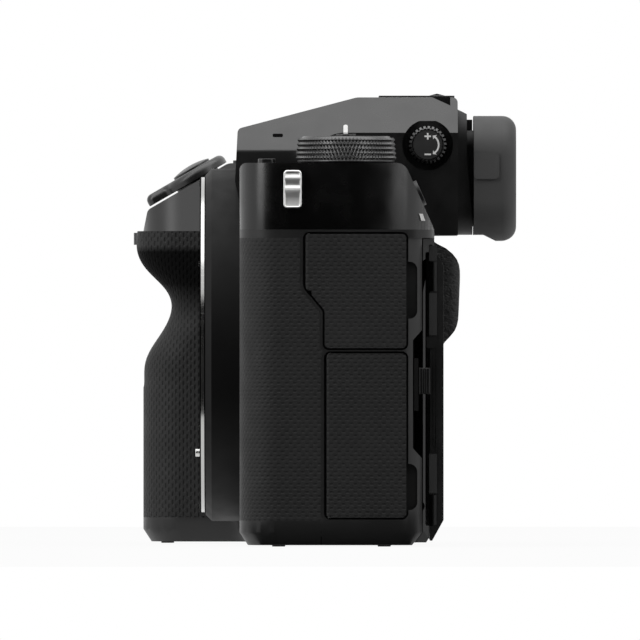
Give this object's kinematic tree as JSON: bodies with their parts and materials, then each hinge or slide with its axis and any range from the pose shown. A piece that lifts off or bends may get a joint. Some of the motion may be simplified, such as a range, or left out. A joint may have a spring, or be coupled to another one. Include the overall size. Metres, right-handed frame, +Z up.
{
  "type": "medium format digital camera body",
  "caption": "Medium format mirrorless camera body with open lens mount, tall electronic finder, deep handgrip, dials and tilting rear monitor.",
  "frame": {"origin": "axis of the tripod socket at the plane the camera stands on", "axes": "-Y out of the lens mount, +Y to the eyepiece, +X to the port side, -X to the handgrip, +Z up"},
  "size_m": [0.15, 0.0882, 0.1037],
  "materials": {
    "magnesium_black": "satin black coat on cast casing",
    "cover_black": "deep black coat, smooth and glossy",
    "skin_black": "grained black covering",
    "grip_rubber": "grained black rubber",
    "soft_rubber": "matte soft rubber",
    "inner_black": "matte black inner plastic",
    "control_black": "black anodised controls",
    "button_plastic": "matte black keys",
    "mount_steel": "turned stainless steel",
    "bright_steel": "polished steel",
    "shoe_metal": "dark plated steel",
    "works_metal": "cast alloy works",
    "board_green": "circuit board",
    "contact_block": "black block with gilt contacts",
    "sensor_glass": "coated sensor cover glass",
    "screen_glass": "dark screen cover",
    "lens_glass": "coated optical glass",
    "panel_grey": "dark grey plastic"
  },
  "bodies": {
    "camera_body": {"front_casing": "magnesium_black", "rear_casing": "magnesium_black", "top_cover": "cover_black", "base_plate": "magnesium_black", "tripod_socket": "bright_steel", "chassis_frame": "works_metal", "main_board": "board_green", "mount_flange": "mount_steel", "lens_contacts": "contact_block", "throat_baffle": "inner_black", "shutter_unit": "inner_black", "sensor_carriage": "works_metal", "image_sensor": "sensor_glass", "body_skin": "skin_black", "handgrip_rubber": "grip_rubber", "thumb_rest": "grip_rubber", "hot_shoe": "shoe_metal", "viewfinder_unit": "panel_grey", "viewfinder_display": "screen_glass", "eyepiece_lens": "lens_glass", "eyecup": "soft_rubber", "port_panel": "inner_black", "strap_lugs": "bright_steel", "battery": "panel_grey", "card_slot_unit": "inner_black", "sub_display_window": "screen_glass", "rubber_feet": "soft_rubber", "hinge_pins": "mount_steel"},
    "mode_dial": {"mode_dial": "control_black"},
    "mode_dial_lock": {"mode_dial_lock": "control_black"},
    "still_movie_lever": {"still_movie_lever": "control_black"},
    "diopter_dial": {"diopter_dial": "button_plastic"},
    "front_command_dial": {"front_command_dial": "control_black"},
    "rear_command_dial": {"rear_command_dial": "control_black"},
    "power_lever": {"power_lever": "control_black"},
    "shutter_button": {"shutter_button": "control_black"},
    "exposure_button": {"exposure_button": "button_plastic"},
    "front_function_button": {"front_function_button": "button_plastic"},
    "lens_release_button": {"lens_release_button": "button_plastic"},
    "lens_lock_pin": {"lens_lock_pin": "mount_steel"},
    "delete_button": {"delete_button": "button_plastic"},
    "playback_button": {"playback_button": "button_plastic"},
    "af_on_button": {"af_on_button": "button_plastic"},
    "quick_button": {"quick_button": "button_plastic"},
    "focus_mode_lever": {"focus_mode_lever": "control_black"},
    "focus_stick": {"focus_stick": "soft_rubber"},
    "menu_ok_button": {"menu_ok_button": "button_plastic"},
    "disp_back_button": {"disp_back_button": "button_plastic"},
    "upper_port_door": {"upper_port_door": "skin_black"},
    "lower_port_door": {"lower_port_door": "skin_black"},
    "battery_door": {"battery_door": "panel_grey"},
    "battery_latch": {"battery_latch": "button_plastic"},
    "card_door": {"card_door": "panel_grey"},
    "monitor_swing_plate": {"monitor_swing_plate": "works_metal"},
    "monitor_tilt_arm": {"monitor_tilt_arm": "works_metal"},
    "monitor_release_slider": {"monitor_release_slider": "button_plastic"},
    "hot_shoe_cover": {"hot_shoe_cover": "button_plastic"},
    "monitor": {"monitor_housing": "panel_grey", "monitor_glass": "screen_glass"}
  },
  "joints": [
    {"name": "mode_dial_spin", "type": "hinge", "parent": "camera_body", "child": "mode_dial", "pos_m": [0.046, 0.0101, 0.09], "axis": [0, 0, 1], "continuous": true},
    {"name": "mode_dial_lock_press", "type": "slide", "parent": "mode_dial", "child": "mode_dial_lock", "axis": [0, 0, -1], "range_m": [0, 0.0014], "stiffness_N_per_m": 400, "springref_m": -0.0008},
    {"name": "still_movie_turn", "type": "hinge", "parent": "camera_body", "child": "still_movie_lever", "pos_m": [0.046, -0.0054, 0.087], "axis": [0, 0, 1], "range_deg": [0, 35]},
    {"name": "diopter_turn", "type": "hinge", "parent": "camera_body", "child": "diopter_dial", "pos_m": [0.026, 0.0288, 0.0918], "axis": [1, 0, 0], "range_deg": [-160, 160]},
    {"name": "front_dial_spin", "type": "hinge", "parent": "camera_body", "child": "front_command_dial", "pos_m": [-0.069, -0.0311, 0.0705], "axis": [0, 0, 1], "continuous": true},
    {"name": "rear_dial_spin", "type": "hinge", "parent": "camera_body", "child": "rear_command_dial", "pos_m": [-0.068, 0.0195, 0.082], "axis": [0, 0, 1], "continuous": true},
    {"name": "power_turn", "type": "hinge", "parent": "camera_body", "child": "power_lever", "pos_m": [-0.067, -0.0241, 0.08396], "axis": [0, -0.5001, 0.866], "range_deg": [0, 40]},
    {"name": "shutter_press", "type": "slide", "parent": "camera_body", "child": "shutter_button", "axis": [0, 0.5001, -0.866], "range_m": [0, 0.0015], "stiffness_N_per_m": 400, "springref_m": -0.0008},
    {"name": "exposure_press", "type": "slide", "parent": "camera_body", "child": "exposure_button", "axis": [0, 0, -1], "range_m": [0, 0.0005], "stiffness_N_per_m": 400, "springref_m": -0.0008},
    {"name": "front_function_press", "type": "slide", "parent": "camera_body", "child": "front_function_button", "axis": [0, 1, 0], "range_m": [0, 0.0006], "stiffness_N_per_m": 400, "springref_m": -0.0008},
    {"name": "lens_release_press", "type": "slide", "parent": "camera_body", "child": "lens_release_button", "axis": [0, 1, 0], "range_m": [0, 0.0015], "stiffness_N_per_m": 400, "springref_m": -0.0008},
    {"name": "lens_pin_slide", "type": "slide", "parent": "camera_body", "child": "lens_lock_pin", "axis": [0, 1, 0], "range_m": [0, 0.0015], "stiffness_N_per_m": 400, "springref_m": -0.0008},
    {"name": "delete_press", "type": "slide", "parent": "camera_body", "child": "delete_button", "axis": [0, -0.9128, -0.4084], "range_m": [0, 0.0007], "stiffness_N_per_m": 400, "springref_m": -0.0008},
    {"name": "playback_press", "type": "slide", "parent": "camera_body", "child": "playback_button", "axis": [0, -0.9128, -0.4084], "range_m": [0, 0.0007], "stiffness_N_per_m": 400, "springref_m": -0.0008},
    {"name": "af_on_press", "type": "slide", "parent": "camera_body", "child": "af_on_button", "axis": [0, -1, 0], "range_m": [0, 0.0007], "stiffness_N_per_m": 400, "springref_m": -0.0008},
    {"name": "quick_press", "type": "slide", "parent": "camera_body", "child": "quick_button", "axis": [0, -1, 0], "range_m": [0, 0.0006], "stiffness_N_per_m": 400, "springref_m": -0.0008},
    {"name": "focus_mode_turn", "type": "hinge", "parent": "camera_body", "child": "focus_mode_lever", "pos_m": [-0.0335, 0.03, 0.062], "axis": [0, 1, 0], "range_deg": [-25, 25]},
    {"name": "focus_stick_tilt", "type": "hinge", "parent": "camera_body", "child": "focus_stick", "pos_m": [-0.036, 0.0298, 0.0475], "axis": [1, 0, 0], "range_deg": [-8, 8], "stiffness_Nm_per_rad": 0.02},
    {"name": "menu_ok_press", "type": "slide", "parent": "camera_body", "child": "menu_ok_button", "axis": [0, -1, 0], "range_m": [0, 0.0006], "stiffness_N_per_m": 400, "springref_m": -0.0008},
    {"name": "disp_back_press", "type": "slide", "parent": "camera_body", "child": "disp_back_button", "axis": [0, -1, 0], "range_m": [0, 0.0007], "stiffness_N_per_m": 400, "springref_m": -0.0008},
    {"name": "upper_door_swing", "type": "hinge", "parent": "camera_body", "child": "upper_port_door", "pos_m": [0.06245, 0.00145, 0.065], "axis": [0, 0, -1], "range_deg": [0, 90]},
    {"name": "lower_door_swing", "type": "hinge", "parent": "camera_body", "child": "lower_port_door", "pos_m": [0.06245, 0.00625, 0.025], "axis": [0, 0, -1], "range_deg": [0, 90]},
    {"name": "battery_door_swing", "type": "hinge", "parent": "camera_body", "child": "battery_door", "pos_m": [-0.05475, 0, 0.00135], "axis": [0, -1, 0], "range_deg": [0, 90]},
    {"name": "battery_latch_slide", "type": "slide", "parent": "battery_door", "child": "battery_latch", "axis": [1, 0, 0], "range_m": [0, 0.003]},
    {"name": "card_door_swing", "type": "hinge", "parent": "camera_body", "child": "card_door", "pos_m": [-0.0824, 0.0088, 0.035], "axis": [0, 0, 1], "range_deg": [0, 90]},
    {"name": "monitor_swing", "type": "hinge", "parent": "camera_body", "child": "monitor_swing_plate", "pos_m": [-0.0175, 0.026, 0.035], "axis": [0, 0, 1], "range_deg": [0, 60]},
    {"name": "monitor_arm_tilt", "type": "hinge", "parent": "monitor_swing_plate", "child": "monitor_tilt_arm", "pos_m": [0.018, 0.0269, 0.0092], "axis": [-1, 0, 0], "range_deg": [0, 45]},
    {"name": "monitor_tilt", "type": "hinge", "parent": "monitor_tilt_arm", "child": "monitor", "pos_m": [0.018, 0.0289, 0.0644], "axis": [1, 0, 0], "range_deg": [0, 90]},
    {"name": "monitor_release_slide", "type": "slide", "parent": "monitor_swing_plate", "child": "monitor_release_slider", "axis": [0, 0, -1], "range_m": [0, 0.002], "stiffness_N_per_m": 400, "springref_m": -0.0008},
    {"name": "hot_shoe_cover_slide", "type": "slide", "parent": "camera_body", "child": "hot_shoe_cover", "axis": [0, 1, 0], "range_m": [0, 0.022]}
  ],
  "couplings": [
    {"joint": "lens_pin_slide", "follows": "lens_release_press", "ratio": 1}
  ]
}
